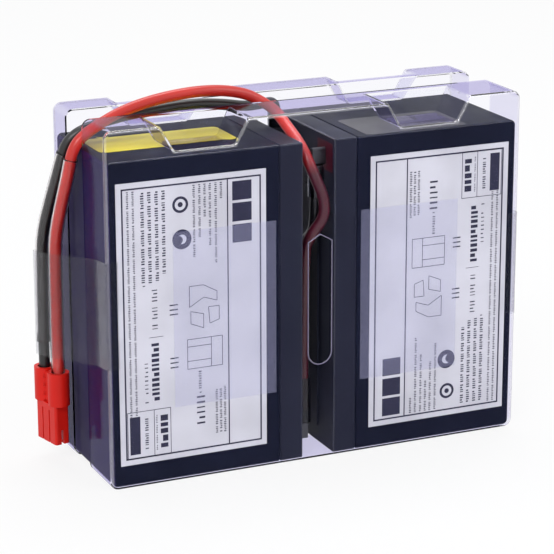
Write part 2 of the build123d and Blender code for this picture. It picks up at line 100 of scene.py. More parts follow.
def plainMaterial(name, color, roughness, **sockets):
    material = bpy.data.materials.new(name)
    material.use_nodes = True
    shader = material.node_tree.nodes["Principled BSDF"]
    shader.inputs["Base Color"].default_value = (*color, 1)
    shader.inputs["Roughness"].default_value = roughness
    for label, value in sockets.items():
        socket = shader.inputs[label.replace("_", " ")]
        socket.default_value = (*value, 1) if isinstance(value, tuple) else value
    return material


def shaderOf(material):
    return material.node_tree.nodes["Principled BSDF"]


def roughFrom(material, mask, low, high):
    tree = material.node_tree
    tree.links.new(ramp(tree, mask, 0.0, 1.0, low, high, -400, -100), shaderOf(material).inputs["Roughness"])


def bumpFrom(material, height, strength, depth):
    tree = material.node_tree
    bump = addNode(tree, "ShaderNodeBump", -250, -300)
    bump.inputs["Strength"].default_value = strength
    bump.inputs["Distance"].default_value = depth * mm
    tree.links.new(height, bump.inputs["Height"])
    tree.links.new(bump.outputs["Normal"], shaderOf(material).inputs["Normal"])


def letLampsThrough(material, tint):
    tree = material.node_tree
    path = addNode(tree, "ShaderNodeLightPath", 300, 400)
    clear = addNode(tree, "ShaderNodeBsdfTransparent", 300, -200)
    clear.inputs["Color"].default_value = (*tint, 1)
    solid = shaderOf(material).outputs["BSDF"]
    surface = tree.nodes["Material Output"].inputs["Surface"]
    mixShaders(tree, path.outputs["Is Shadow Ray"], solid, clear.outputs["BSDF"], surface)


def addPiece(name, data, material=None):
    if material:
        data.materials.append(material)
    piece = bpy.data.objects.new(name, data)
    bpy.context.scene.collection.objects.link(piece)
    return piece


def makeGroup(name, inputs, outputs):
    tree = bpy.data.node_groups.new(name, "ShaderNodeTree")
    for label, value in inputs.items():
        socket = tree.interface.new_socket(label, in_out="INPUT", socket_type="NodeSocketFloat")
        socket.default_value = value
    for label in outputs:
        tree.interface.new_socket(label, in_out="OUTPUT", socket_type="NodeSocketFloat")
    start = addNode(tree, "NodeGroupInput", -900, 0)
    end = addNode(tree, "NodeGroupOutput", 500, 0)
    return tree, start, end


def placeGroup(material, group, **values):
    node = addNode(material.node_tree, "ShaderNodeGroup", -700, 0, node_tree=group)
    for label, value in values.items():
        node.inputs[label.replace("_", " ")].default_value = value
    return node


def noiseIn(group, start, label, detail, y):
    place = addNode(group, "ShaderNodeTexCoord", -900, y)
    noise = addNode(group, "ShaderNodeTexNoise", -500, y)
    noise.inputs["Detail"].default_value = detail
    group.links.new(place.outputs["Object"], noise.inputs["Vector"])
    group.links.new(start.outputs[label], noise.inputs["Scale"])
    return noise


# Shared effects, each a node group that gives masks and heights only
grainSet = {
    "scale": 1500.0, "detail": 3.0,
    "patchScale": 30.0, "patchDetail": 4.0, "patchFrom": 0.35, "patchTo": 0.68,
}
grainInputs = {"Scale": grainSet["scale"], "Patch Scale": grainSet["patchScale"]}
grainGroup, start, end = makeGroup("mouldedGrain", grainInputs, ["Height", "Patch"])
fine = noiseIn(grainGroup, start, "Scale", grainSet["detail"], 100)
patch = noiseIn(grainGroup, start, "Patch Scale", grainSet["patchDetail"], -200)
low, high = grainSet["patchFrom"], grainSet["patchTo"]
mask = ramp(grainGroup, patch.outputs["Fac"], low, high, 0.0, 1.0, -150, -200)
grainGroup.links.new(fine.outputs["Fac"], end.inputs["Height"])
grainGroup.links.new(mask, end.inputs["Patch"])

formedSet = {
    "rippleScale": 18.0, "rippleDetail": 1.0,
    "scuffScale": 60.0, "scuffDetail": 8.0, "scuffBreak": 0.7, "scuffFrom": 0.5, "scuffTo": 0.75,
}
formedInputs = {"Ripple Scale": formedSet["rippleScale"], "Scuff Scale": formedSet["scuffScale"]}
sheetGroup, start, end = makeGroup("formedSheet", formedInputs, ["Height", "Scuff"])
ripple = noiseIn(sheetGroup, start, "Ripple Scale", formedSet["rippleDetail"], 100)
scuff = noiseIn(sheetGroup, start, "Scuff Scale", formedSet["scuffDetail"], -200)
scuff.inputs["Roughness"].default_value = formedSet["scuffBreak"]
low, high = formedSet["scuffFrom"], formedSet["scuffTo"]
mask = ramp(sheetGroup, scuff.outputs["Fac"], low, high, 0.0, 1.0, -150, -200)
sheetGroup.links.new(ripple.outputs["Fac"], end.inputs["Height"])
sheetGroup.links.new(mask, end.inputs["Scuff"])

lineSet = {"scale": 700.0, "distort": 1.2, "detail": 3.0, "detailScale": 2.0}
lineInputs = {"Scale": lineSet["scale"], "Distort": lineSet["distort"]}
lineGroup, start, end = makeGroup("filmLines", lineInputs, ["Lines"])
place = addNode(lineGroup, "ShaderNodeTexCoord", -900, -250)
wave = addNode(lineGroup, "ShaderNodeTexWave", -500, 0, wave_type="BANDS", bands_direction="X")
wave.inputs["Detail"].default_value = lineSet["detail"]
wave.inputs["Detail Scale"].default_value = lineSet["detailScale"]
lineGroup.links.new(place.outputs["Object"], wave.inputs["Vector"])
lineGroup.links.new(start.outputs["Scale"], wave.inputs["Scale"])
lineGroup.links.new(start.outputs["Distort"], wave.inputs["Distortion"])
lineGroup.links.new(wave.outputs["Fac"], end.inputs["Lines"])
print("node groups made")

# Bright edges of a formed tray: corners, top rim, pocket slopes, pocket floors and the slot's lip
trayEdgeSet = {
    "side": 102.1,
    "top": 164.7,
    "face": 32.4,
    "lip": 33.8,
    "soft": 0.3,
    "lipSoft": 0.1,
    "pocketCentre": 55.8,
    "pocketFloor": 154.4,
    "rim": 166.0,
    "floorHalf": 14.3,
    "mouthHalf": 20.9,
    "slopeHalf": 1.2,
    "slopeFrom": 154.0,
    "floorLow": 153.4,
    "floorHigh": 155.3,
    "floorReach": 15.0,
}


def trayEdgeMask(tree):
    at = {name: size * mm for name, size in trayEdgeSet.items()}
    soft = at["soft"]
    x, y, z = objectPlace(tree, -1900, 900)
    across = mathNode(tree, "ABSOLUTE", x, x=-1500, y=1000)
    depth = mathNode(tree, "ABSOLUTE", y, x=-1500, y=800)
    side = band(tree, across, at["side"], farOut, soft, 1400)
    top = band(tree, z, at["top"], farOut, soft, 1100)
    face = band(tree, depth, at["face"], farOut, soft, 800)
    lip = band(tree, depth, at["lip"], farOut, at["lipSoft"], 500)
    fromPocket = mathNode(tree, "SUBTRACT", across, at["pocketCentre"], -1500, 600)
    beside = mathNode(tree, "ABSOLUTE", fromPocket, x=-1500, y=450)
    slope = ramp(tree, z, at["pocketFloor"], at["rim"], at["floorHalf"], at["mouthHalf"], -1300, 300)
    offSlope = mathNode(tree, "SUBTRACT", beside, slope, -1150, 300)
    onSlope = band(tree, offSlope, -at["slopeHalf"], at["slopeHalf"], soft, 200)
    above = band(tree, z, at["slopeFrom"], farOut, soft, 0)
    onFloor = band(tree, z, at["floorLow"], at["floorHigh"], soft, -200)
    within = band(tree, beside, -farOut, at["floorReach"], soft, -400)
    slopeLine = mathNode(tree, "MULTIPLY", onSlope, above, -900, 100)
    floorLine = mathNode(tree, "MULTIPLY", onFloor, within, -900, -200)
    pocket = mathNode(tree, "MAXIMUM", slopeLine, floorLine, -800, 0)
    rim = mathNode(tree, "MAXIMUM", side, top, -1000, 1200)
    corner = mathNode(tree, "MAXIMUM", rim, pocket, -900, 1200)
    edge = mathNode(tree, "MULTIPLY", corner, face, -750, 1000)
    return mathNode(tree, "MAXIMUM", edge, lip, -600, 900)


def clearSheet(name, values):
    material = plainMaterial(
        name, values["tint"], values["roughness"], IOR=values["ior"], Transmission_Weight=1.0,
        Specular_IOR_Level=values["shine"], Specular_Tint=values["shineTint"],
    )
    tree = material.node_tree
    shader = shaderOf(material)
    group = placeGroup(material, sheetGroup, Ripple_Scale=values["rippleScale"])
    roughFrom(material, group.outputs["Scuff"], values["roughness"], values["scuffRoughness"])
    if "edgeTint" in values:
        tree.links.new(trayEdgeMask(tree), shader.inputs["Coat Weight"])
        shader.inputs["Coat IOR"].default_value = values["edgeIor"]
        slant = addNode(tree, "ShaderNodeLayerWeight", -900, 300)
        slant.inputs["Blend"].default_value = 0.5
        low, high = values["slantFrom"], values["slantTo"]
        deep = ramp(tree, slant.outputs["Facing"], low, high, 0.0, 1.0, -650, 300)
        color = colorMix(tree, deep, values["tint"], values["edgeTint"], -400, 300)
        tree.links.new(color, shader.inputs["Base Color"])
    bumpFrom(material, group.outputs["Height"], values["rippleStrength"], values["rippleDepth"])
    letLampsThrough(material, values["lampTint"])
    return material


mouldSet = {"smoother": 0.05, "rougher": 0.07, "darkShare": 0.82, "grainDepth": 0.08}


def mouldedPlastic(name, values):
    color, roughness = values["color"], values["roughness"]
    material = plainMaterial(name, color, roughness, Specular_IOR_Level=values["shine"])
    tree = material.node_tree
    group = placeGroup(material, grainGroup, Scale=values["grainScale"])
    low, high = roughness - mouldSet["smoother"], roughness + mouldSet["rougher"]
    roughFrom(material, group.outputs["Patch"], low, high)
    dark = tuple(value * mouldSet["darkShare"] for value in color)
    patched = colorMix(tree, group.outputs["Patch"], color, dark, -400, 200)
    tree.links.new(patched, shaderOf(material).inputs["Base Color"])
    bumpFrom(material, group.outputs["Height"], values["grainStrength"], mouldSet["grainDepth"])
    return material


def paint(nodeName, material):
    slots = cadNodes[nodeName].data.materials
    slots.clear()
    slots.append(material)


# Camera at the photograph's angle
cameraSet = {
    "target": (-21.33, -33.7, 90.84),
    "azimuth": -24.2,
    "elevation": 16.6307,
    "roll": -0.123,
    "distance": 1067.353,
    "focalPixels": 2352.15,
    "imagePixels": 554,
    "sensor": 36.0,
    "clip": (50.0, 30000.0),
}
azimuth, elevation = math.radians(cameraSet["azimuth"]), math.radians(cameraSet["elevation"])
back = Vector((
    math.sin(azimuth) * math.cos(elevation),
    -math.cos(azimuth) * math.cos(elevation),
    math.sin(elevation),
))
cameraData = bpy.data.cameras.new("photoCamera")
cameraData.sensor_width = cameraSet["sensor"]
cameraData.lens = cameraSet["focalPixels"] / cameraSet["imagePixels"] * cameraSet["sensor"]
cameraData.clip_start, cameraData.clip_end = (size * mm for size in cameraSet["clip"])
camera = addPiece("photoCamera", cameraData)
camera.location = (Vector(cameraSet["target"]) + back * cameraSet["distance"]) * mm
turn = (-back).to_track_quat("-Z", "Y").to_matrix().to_4x4()
roll = Matrix.Rotation(math.radians(cameraSet["roll"]), 4, "Z")
camera.matrix_world = Matrix.Translation(camera.location) @ turn @ roll
bpy.context.scene.camera = camera
bpy.context.scene.view_settings.view_transform = "Standard"
print("camera set")

# Leads: the routes of the source, each one smooth line
leadSet = {
    "diameter": 5.2,
    "bevelSteps": 7,
    "smoothness": 16,
    "red": (0.62, 0.022, 0.014),
    "black": (0.012, 0.012, 0.013),
    # Painted shade: the two colours below darken each lead where it runs down the gap between the batteries
    "redGapShade": (0.055, 0.002, 0.009),
    "blackGapShade": (0.004, 0.004, 0.005),
    "roughness": 0.36,
    "shine": 0.5,
    "coat": 0.15,
    "dullShare": 0.85,
    "dullLift": 0.004,
    "grainScale": 2500.0,
    "grainStrength": 0.1,
    "grainDepth": 0.06,
    # Painted shade: where the gap shade on the leads begins across the gap and fades out upward
    "gapFrom": -10.5,
    "gapTo": -4.5,
    "fullShadeBelow": 136.0,
    "lightAbove": 158.0,
}
redRoute = [
    (-3.3, -22.5, 15.7), (-3.3, -22.5, 96), (-1.4, -26.2, 106), (4.4, -29.6, 115), (3.9, -29.7, 124.5),
    (0.2, -29.6, 133), (-2.6, -28.6, 140), (-3.6, -24.5, 145.6), (-3.9, -17, 149.8), (-4.4, -5, 154.9),
    (-5.4, 1, 158.3), (-10.5, 5, 163), (-20, 6.4, 168.4), (-38, 4.6, 171.6), (-60, 3, 170.7), (-80, 2, 166.8),
    (-95, 1, 160.2), (-105.6, -0.6, 153.6), (-107.6, 1.5, 140), (-109.6, 6.4, 125), (-111, 11, 111),
    (-111.4, 12.4, 98), (-111.4, 12.4, 35.8),
]
blackRoute = [
    (3.3, 22.5, 147.7), (3.3, 22.5, 155.5), (0.65, 20.4, 159.3), (-6, 15.6, 159.8), (-16, 12.4, 160),
    (-28, 11.2, 162.6), (-44, 10.6, 164.4), (-66, 10, 163.2), (-88, 9.4, 160.4), (-104.8, 9.2, 155),
    (-108, 12, 141), (-110.6, 17.5, 125.5), (-112.8, 22.4, 111.5), (-114, 24.12, 98), (-114, 24.12, 35.8),
]
jumperRoute = [
    (-3.3, 22.5, 15.7), (-3.3, 22.5, 66), (-0.8, 15, 82), (1.6, -2, 95), (3.1, -18, 103),
    (3.3, -22.5, 113), (3.3, -22.5, 136.9),
]


# Painted shade: mask of a lead inside the gap between the batteries, full low down and gone near the lid tops
def gapShadeMask(tree):
    x, y, z = objectPlace(tree, -1500, 500)
    inside = ramp(tree, x, leadSet["gapFrom"] * mm, leadSet["gapTo"] * mm, 0.0, 1.0, -1100, 600)
    low = ramp(tree, z, leadSet["fullShadeBelow"] * mm, leadSet["lightAbove"] * mm, 1.0, 0.0, -1100, 400)
    return mathNode(tree, "MULTIPLY", inside, low, -900, 500)


def leadMaterial(name, color, gapShadeColor):
    material = plainMaterial(
        name, color, leadSet["roughness"], Specular_IOR_Level=leadSet["shine"], Coat_Weight=leadSet["coat"],
    )
    group = placeGroup(material, grainGroup, Scale=leadSet["grainScale"])
    tree = material.node_tree
    dull = tuple(value * leadSet["dullShare"] + leadSet["dullLift"] for value in color)
    worn = colorMix(tree, group.outputs["Patch"], color, dull, -600, 200)
    # Painted shade: inside the gap the lead's colour turns to its darker gap colour
    deep = colorMix(tree, gapShadeMask(tree), color, gapShadeColor, -400, 200)
    tree.links.new(worn, deep.node.inputs["A"])
    tree.links.new(deep, shaderOf(material).inputs["Base Color"])
    bumpFrom(material, group.outputs["Height"], leadSet["grainStrength"], leadSet["grainDepth"])
    return material


def leadCurve(name, route, material):
    curve = bpy.data.curves.new(name, "CURVE")
    curve.dimensions = "3D"
    spline = curve.splines.new("NURBS")
    spline.points.add(len(route) - 1)
    for point, (x, y, z) in zip(spline.points, route):
        point.co = (x * mm, y * mm, z * mm, 1)
    spline.order_u = 3
    spline.use_endpoint_u = True
    spline.resolution_u = leadSet["smoothness"]
    return addPiece(name, curve, material)


def lineOf(lead):
    bpy.context.view_layer.update()
    flat = bpy.data.meshes.new_from_object(lead.evaluated_get(bpy.context.evaluated_depsgraph_get()))
    points = [vertex.co.copy() for vertex in flat.vertices]
    bpy.data.meshes.remove(flat)
    return points


def tubeAlong(name, points, outer, inner, sides, material):
    mesh = bpy.data.meshes.new(name)
    shape = bmesh.new()
    side = Vector((1, 0, 0))
    rings = []
    for index, point in enumerate(points):
        ahead = (points[min(index + 1, len(points) - 1)] - points[max(index - 1, 0)]).normalized()
        side = (side - ahead * side.dot(ahead)).normalized()
        up = ahead.cross(side)
        ring = []
        for radius in (outer, inner):
            for step in range(sides):
                angle = 2 * math.pi * step / sides
                out = side * math.cos(angle) + up * math.sin(angle)
                ring.append(shape.verts.new(point + out * radius * mm))
        rings.append(ring)
    for first, second in zip(rings, rings[1:]):
        for step in range(sides):
            after = (step + 1) % sides
            near, far = sides + step, sides + after  # the same places on the inner wall
            shape.faces.new((first[step], first[after], second[after], second[step]))
            shape.faces.new((first[far], first[near], second[near], second[far]))
    for ring, flip in ((rings[0], True), (rings[-1], False)):
        for step in range(sides):
            after = (step + 1) % sides
            corners = (ring[step], ring[after], ring[sides + after], ring[sides + step])
            shape.faces.new(tuple(reversed(corners)) if flip else corners)
    for face in shape.faces:
        face.smooth = True
    shape.normal_update()
    shape.to_mesh(mesh)
    shape.free()
    return addPiece(name, mesh, material)


redPlastic = leadMaterial("redInsulation", leadSet["red"], leadSet["redGapShade"])
blackPlastic = leadMaterial("blackInsulation", leadSet["black"], leadSet["blackGapShade"])
redLead = leadCurve("redLead", redRoute, redPlastic)
blackLead = leadCurve("blackLead", blackRoute, blackPlastic)
jumperLead = leadCurve("jumperLead", jumperRoute, blackPlastic)

# Clear sleeves round the part of each lead that hangs down the left side
sleeveSet = {
    "outer": 3.25,
    "inner": 2.72,
    "sides": 24,
    "redTop": 147.0,
    "redBottom": 40.8,
    "blackTop": 148.0,
    "blackBottom": 52.0,
    "sideX": -100.0,
}
sleeveClear = clearSheet("sleeveClear", {
    "tint": (0.90, 0.88, 0.89), "roughness": 0.14, "scuffRoughness": 0.26, "ior": 1.32, "shine": 0.5,
    "shineTint": (1.0, 1.0, 1.0), "rippleScale": 250.0, "rippleStrength": 0.25, "rippleDepth": 0.2,
    "lampTint": (0.9, 0.88, 0.88),
})


def sleeveOver(name, lead, top, bottom):
    line = [p for p in lineOf(lead) if p.x < sleeveSet["sideX"] * mm and bottom * mm <= p.z <= top * mm]
    return tubeAlong(name, line, sleeveSet["outer"], sleeveSet["inner"], sleeveSet["sides"], sleeveClear)


redSleeve = sleeveOver("redSleeve", redLead, sleeveSet["redTop"], sleeveSet["redBottom"])
blackSleeve = sleeveOver("blackSleeve", blackLead, sleeveSet["blackTop"], sleeveSet["blackBottom"])
for lead in (redLead, blackLead, jumperLead):
    lead.data.bevel_depth = leadSet["diameter"] / 2 * mm
    lead.data.bevel_resolution = leadSet["bevelSteps"]
    lead.data.use_fill_caps = True
for piece, nodeName, slotName in (
    (redLead, "red_lead", "lead_red"),
    (blackLead, "black_lead", "lead_black"),
    (jumperLead, "jumper_lead", "lead_black"),
    (redSleeve, "red_lead_sleeve", "sleeve_clear"),
    (blackSleeve, "black_lead_sleeve", "sleeve_clear"),
):
    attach(piece, "root")
    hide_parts(nodeName)
print("leads and sleeves laid")

# Battery cases and lids
batterySet = {
    "case": {
        "color": (0.0085, 0.0105, 0.0225), "roughness": 0.40, "shine": 0.04,
        "grainScale": 1100.0, "grainStrength": 0.02,
    },
    "lid": {
        "color": (0.0200, 0.0220, 0.0360), "roughness": 0.38, "shine": 0.04,
        "grainScale": 1100.0, "grainStrength": 0.02,
    },
    "edgeTop": 151.2,
    "edgeFace": 31.9,
    "edgeSide": 101.2,
    "edgeLid": 8.5,
    "edgeSoft": 0.2,
    "edgeCoat": 0.8,
    # Painted veil colour for the outer ends of the cases
    "endPaintedVeil": (0.018, 0.012, 0.065),
}
casePlastic = mouldedPlastic("casePlastic", batterySet["case"])
lidPlastic = mouldedPlastic("lidPlastic", batterySet["lid"])


def shineEdges(material):
    tree = material.node_tree
    soft = batterySet["edgeSoft"] * mm
    x, y, z = objectPlace(tree, -1900, 900)
    across = mathNode(tree, "ABSOLUTE", x, x=-1500, y=1000)
    depth = mathNode(tree, "ABSOLUTE", y, x=-1500, y=800)
    side = band(tree, across, batterySet["edgeSide"] * mm, farOut, soft, 1400)
    lidEnd = band(tree, across, 0.0, batterySet["edgeLid"] * mm, soft, 1700)
    top = band(tree, z, batterySet["edgeTop"] * mm, farOut, soft, 1100)
    face = band(tree, depth, batterySet["edgeFace"] * mm, farOut, soft, 800)
    ends = mathNode(tree, "MAXIMUM", side, lidEnd, -900, 1400)
    upright = mathNode(tree, "MULTIPLY", ends, face, -750, 1300)
    along = mathNode(tree, "MULTIPLY", top, face, -750, 1100)
    overTop = mathNode(tree, "MULTIPLY", ends, top, -750, 1500)
    around = mathNode(tree, "MAXIMUM", upright, along, -600, 1200)
    around = mathNode(tree, "MAXIMUM", around, overTop, -450, 1200)
    level = mathNode(tree, "MULTIPLY", around, batterySet["edgeCoat"], -300, 1200)
    tree.links.new(level, shaderOf(material).inputs["Coat Weight"])
    return side


# Painted veil: the outer ends of the cases are painted violet, standing in for the veil of the sheet in front
# of them
endVeilMask = shineEdges(casePlastic)
shineEdges(lidPlastic)
tree = casePlastic.node_tree
caseColor = shaderOf(casePlastic).inputs["Base Color"]
plainColor = caseColor.links[0].from_socket
cast = colorMix(tree, endVeilMask, batterySet["case"]["color"], batterySet["endPaintedVeil"], -200, 300)
tree.links.new(plainColor, cast.node.inputs["A"])
tree.links.new(cast, caseColor)

# Clear sheets
trayClear = clearSheet("trayClear", {
    "tint": (0.955, 0.955, 0.99), "roughness": 0.02, "scuffRoughness": 0.05, "ior": 1.065, "shine": 0.5,
    "shineTint": (0.6, 0.5, 1.0), "rippleScale": 18.0, "rippleStrength": 0.3, "rippleDepth": 0.6,
    "lampTint": (0.93, 0.93, 0.96),
    "edgeTint": (0.34, 0.29, 0.66), "edgeIor": 2.0, "slantFrom": 0.35, "slantTo": 0.9,
})
tapeClear = clearSheet("tapeClear", {
    "tint": (0.86, 0.86, 0.88), "roughness": 0.10, "scuffRoughness": 0.2, "ior": 1.16, "shine": 0.5,
    "shineTint": (1.0, 1.0, 1.0), "rippleScale": 60.0, "rippleStrength": 0.6, "rippleDepth": 0.8,
    "lampTint": (0.9, 0.9, 0.92),
})
# Painted shade: the boots are a dark smoky sheet, darkened for the dark gap they sit in
bootClear = clearSheet("bootClear", {
    "tint": (0.30, 0.30, 0.34), "roughness": 0.15, "scuffRoughness": 0.25, "ior": 1.4, "shine": 0.1,
    "shineTint": (1.0, 1.0, 1.0), "rippleScale": 250.0, "rippleStrength": 0.2, "rippleDepth": 0.2,
    "lampTint": (0.4, 0.4, 0.45),
})

# Paper, stickers, seals, rubber, connector and plates
labelPaper = mouldedPlastic("labelPaper", {
    "color": (0.615, 0.615, 0.63), "roughness": 0.5, "shine": 0.25,
    "grainScale": 2500.0, "grainStrength": 0.04,
})
yellowSticker = mouldedPlastic("yellowSticker", {
    "color": (0.57, 0.485, 0.016), "roughness": 0.4, "shine": 0.4,
    "grainScale": 2500.0, "grainStrength": 0.15,
})
# A flat dark grey patch on the right battery's top, laid on the grey_sticker part
greyTopPatch = mouldedPlastic("greyTopPatch", {
    "color": (0.055, 0.055, 0.06), "roughness": 0.45, "shine": 0.2,
    "grainScale": 2500.0, "grainStrength": 0.15,
})
# Painted shade: the seals' red is darkened to a dim crimson for the dark gap they sit in
redSeal = mouldedPlastic("redSeal", {
    "color": (0.060, 0.004, 0.012), "roughness": 0.4, "shine": 0.1,
    "grainScale": 1800.0, "grainStrength": 0.3,
})
blackSeal = mouldedPlastic("blackSeal", {
    "color": (0.012, 0.012, 0.012), "roughness": 0.45, "shine": 0.4,
    "grainScale": 1800.0, "grainStrength": 0.3,
})
ventRubber = mouldedPlastic("ventRubber", {
    "color": (0.02, 0.02, 0.02), "roughness": 0.7, "shine": 0.3,
    "grainScale": 1800.0, "grainStrength": 0.4,
})
connectorPlastic = mouldedPlastic("connectorPlastic", {
    "color": (0.76, 0.012, 0.005), "roughness": 0.42, "shine": 0.25,
    "grainScale": 1200.0, "grainStrength": 0.12,
})
plateLead = mouldedPlastic("plateLead", {
    "color": (0.24, 0.24, 0.26), "roughness": 0.7, "shine": 0.3,
    "grainScale": 900.0, "grainStrength": 0.7,
})

# Metals
metalSet = {
    # Painted shade: the tinned brass is set far darker than bright tin, for the terminals and receptacles in
    # the dark gap
    "tinnedBrass": {"color": (0.085, 0.085, 0.095), "roughness": 0.30},
    "silverContact": {"color": (0.80, 0.80, 0.78), "roughness": 0.25},
    "castLead": {"color": (0.36, 0.37, 0.39), "roughness": 0.5},
    "rougher": 0.15,
    "grainScale": 2200.0,
    "grainStrength": 0.3,
    "grainDepth": 0.05,
}


def metalMaterial(name):
    color, roughness = metalSet[name]["color"], metalSet[name]["roughness"]
    material = plainMaterial(name, color, roughness, Metallic=1.0)
    group = placeGroup(material, grainGroup, Scale=metalSet["grainScale"])
    roughFrom(material, group.outputs["Patch"], roughness, roughness + metalSet["rougher"])
    bumpFrom(material, group.outputs["Height"], metalSet["grainStrength"], metalSet["grainDepth"])
    return material


tinnedBrass = metalMaterial("tinnedBrass")
silverContact = metalMaterial("silverContact")
castLead = metalMaterial("castLead")

for sideName in ("left", "right"):
    paint(f"{sideName}_case", casePlastic)
    paint(f"{sideName}_lid", lidPlastic)
    paint(f"{sideName}_vent_cover", lidPlastic)
    paint(f"{sideName}_vent_caps", ventRubber)
    paint(f"{sideName}_plate_packs", plateLead)
    paint(f"{sideName}_cell_straps", castLead)
    paint(f"{sideName}_label", labelPaper)
    paint(f"{sideName}_tape", tapeClear)
    paint(f"{sideName}_seal_positive", redSeal)
    paint(f"{sideName}_seal_negative", blackSeal)
    for pole in ("positive", "negative"):
        paint(f"{sideName}_terminal_{pole}", tinnedBrass)
        paint(f"receptacle_{sideName}_{pole}", tinnedBrass)
        paint(f"boot_{sideName}_{pole}", bootClear)
for nodeName, material in (
    ("front_tray", trayClear),
    ("rear_tray", trayClear),
    ("yellow_sticker", yellowSticker),
    ("grey_sticker", greyTopPatch),
    ("connector_housing", connectorPlastic),
    ("connector_contacts", silverContact),
):
    paint(nodeName, material)
print("finishes set")

# Label print: generic bars, frames and rings as thin faces just above the paper, no lettering
printSet = {
    "ink": (0.020, 0.020, 0.045),
    "softInk": (0.022, 0.022, 0.045),
    "inkRoughness": (0.44, 0.56),
    "baseX": 101.8,
    "middleZ": 76.3,
    "edgeFromBase": 3.7,
    "topFromMiddle": 65.7,
    "paperY": -32.65,
    "lift": 0.03,
    "thickness": 0.01,
    "width": 71.9,
    "length": 131.3,
    "frameInset": 2.5,
    "frameWidth": 0.75,
    "separatorAt": 52.8,
    "separatorWidth": 0.6,
    "lineHalf": 0.16,
    "ringSteps": 28,
    "strokeLeast": 0.8,
    "strokeSpread": 0.07,
    "shortStroke": 0.28,
    "wordSpace": 2.6,
}
# Each bar's corners: across and down the label, then across and down again
printBars = [
    (55.4, 4.4, 64.8, 13.2), (55.4, 14.4, 64.8, 23.0), (55.4, 24.4, 64.8, 32.8),
    (4.6, 108.6, 9.6, 126.6), (3.4, 106.2, 3.7, 128.6), (24.2, 106.2, 24.5, 128.6), (3.4, 106.2, 24.5, 106.5),
    (3.4, 128.3, 24.5, 128.6), (16.2, 106.2, 16.5, 128.6), (14.6, 72.0, 21.4, 72.25),
    (24.6, 58.0, 28.6, 58.6), (24.6, 60.2, 28.6, 60.8), (24.6, 62.4, 28.6, 63.0),
    (24.6, 83.0, 28.6, 83.6), (24.6, 85.2, 28.6, 85.8), (24.6, 87.4, 28.6, 88.0),
]
# Rows of short strokes: across, start, end, height, stroke, space, strokes to a group
printText = [
    (4.9, 4, 110, 1.0, 0.42, 0.42, 9), (7.5, 4, 108, 1.0, 0.42, 0.42, 8),
    (11.5, 5, 48, 1.6, 0.55, 0.5, 7), (14.8, 5, 47, 1.6, 0.55, 0.5, 5), (18.2, 5, 46, 1.6, 0.55, 0.5, 6),
    (21.5, 5, 43, 1.6, 0.55, 0.5, 4), (16.2, 50, 69, 2.6, 0.45, 1.1, 4),
    (36.3, 4, 38, 1.1, 0.42, 0.42, 7), (39.0, 4, 29, 1.1, 0.42, 0.42, 5), (41.5, 4, 19, 1.1, 0.42, 0.42, 6),
    (44.0, 4, 33, 1.1, 0.42, 0.42, 4), (46.8, 4, 41, 1.1, 0.42, 0.42, 6), (49.4, 4, 12, 1.1, 0.42, 0.42, 9),
    (46.4, 101, 122, 1.1, 0.42, 0.42, 6), (48.5, 101, 122, 1.1, 0.42, 0.42, 5),
    (50.5, 100, 122, 1.1, 0.42, 0.42, 8), (11.9, 110, 125, 1.6, 0.5, 0.5, 6),
    (17.3, 109, 126, 0.6, 0.4, 0.4, 5), (12.2, 84, 103, 1.6, 0.45, 1.5, 8),
    (38.2, 91, 101.5, 1.4, 0.5, 0.6, 8),
]
printHeavy = [
    (15.6, 75, 103, 3.6, 1.3, 0.9, 12), (37.2, 103, 117, 4.0, 0.75, 1.7, 9),
    (19.4, 109.4, 125, 3.6, 2.3, 0.9, 9),
]
# Rings: across, down, outer and inner radius
printRings = [(30.4, 12.3, 3.8, 2.6), (30.4, 12.3, 1.2, 0.0), (31.0, 28.3, 4.6, 2.2), (29.4, 28.6, 2.0, 0.0)]
printLines = [
    (34.2, 50.6, 41.0, 50.6), (41.0, 50.6, 47.6, 54.2), (47.6, 54.2, 47.6, 58.6), (47.6, 58.6, 41.2, 56.4),
    (41.2, 56.4, 34.2, 60.4), (34.2, 60.4, 34.2, 50.6), (34.8, 62.4, 34.8, 68.2), (34.8, 68.2, 41.0, 70.8),
    (41.0, 70.8, 41.0, 64.2), (41.0, 64.2, 34.8, 62.4), (43.4, 61.2, 48.6, 61.2), (48.6, 61.2, 48.6, 67.6),
    (48.6, 67.6, 44.0, 69.0), (44.0, 69.0, 43.4, 61.2),
    (33.0, 75.5, 50.0, 75.5), (50.0, 75.5, 50.0, 89.5), (50.0, 89.5, 33.0, 89.5), (33.0, 89.5, 33.0, 75.5),
    (44.6, 75.5, 44.6, 89.5), (33.0, 79.0, 44.6, 79.0), (33.0, 85.8, 44.6, 85.8),
]
inkMaterial = plainMaterial("labelInk", printSet["ink"], 0.5, Specular_IOR_Level=0.25)
softInk = plainMaterial("labelSoftInk", printSet["softInk"], 0.5, Specular_IOR_Level=0.25)
for material in (inkMaterial, softInk):
    group = placeGroup(material, grainGroup)
    roughFrom(material, group.outputs["Patch"], *printSet["inkRoughness"])


def printOutlines():
    inset, width = printSet["frameInset"], printSet["frameWidth"]
    far, low = printSet["width"] - inset, printSet["length"] - inset
    bars = [(inset, inset, far, inset + width), (inset, low - width, far, low)]
    bars += [(inset, inset, inset + width, low), (far - width, inset, far, low)]
    bars.append((printSet["separatorAt"], inset, printSet["separatorAt"] + printSet["separatorWidth"], low))
    shapes = [[(a, b), (c, b), (c, d), (a, d)] for a, b, c, d in bars + printBars]
    for a, b, c, d in printLines:
        out = Vector((d - b, a - c)).normalized() * printSet["lineHalf"]
        shapes.append([
            (a + out.x, b + out.y), (c + out.x, d + out.y), (c - out.x, d - out.y), (a - out.x, b - out.y),
        ])
    return shapes


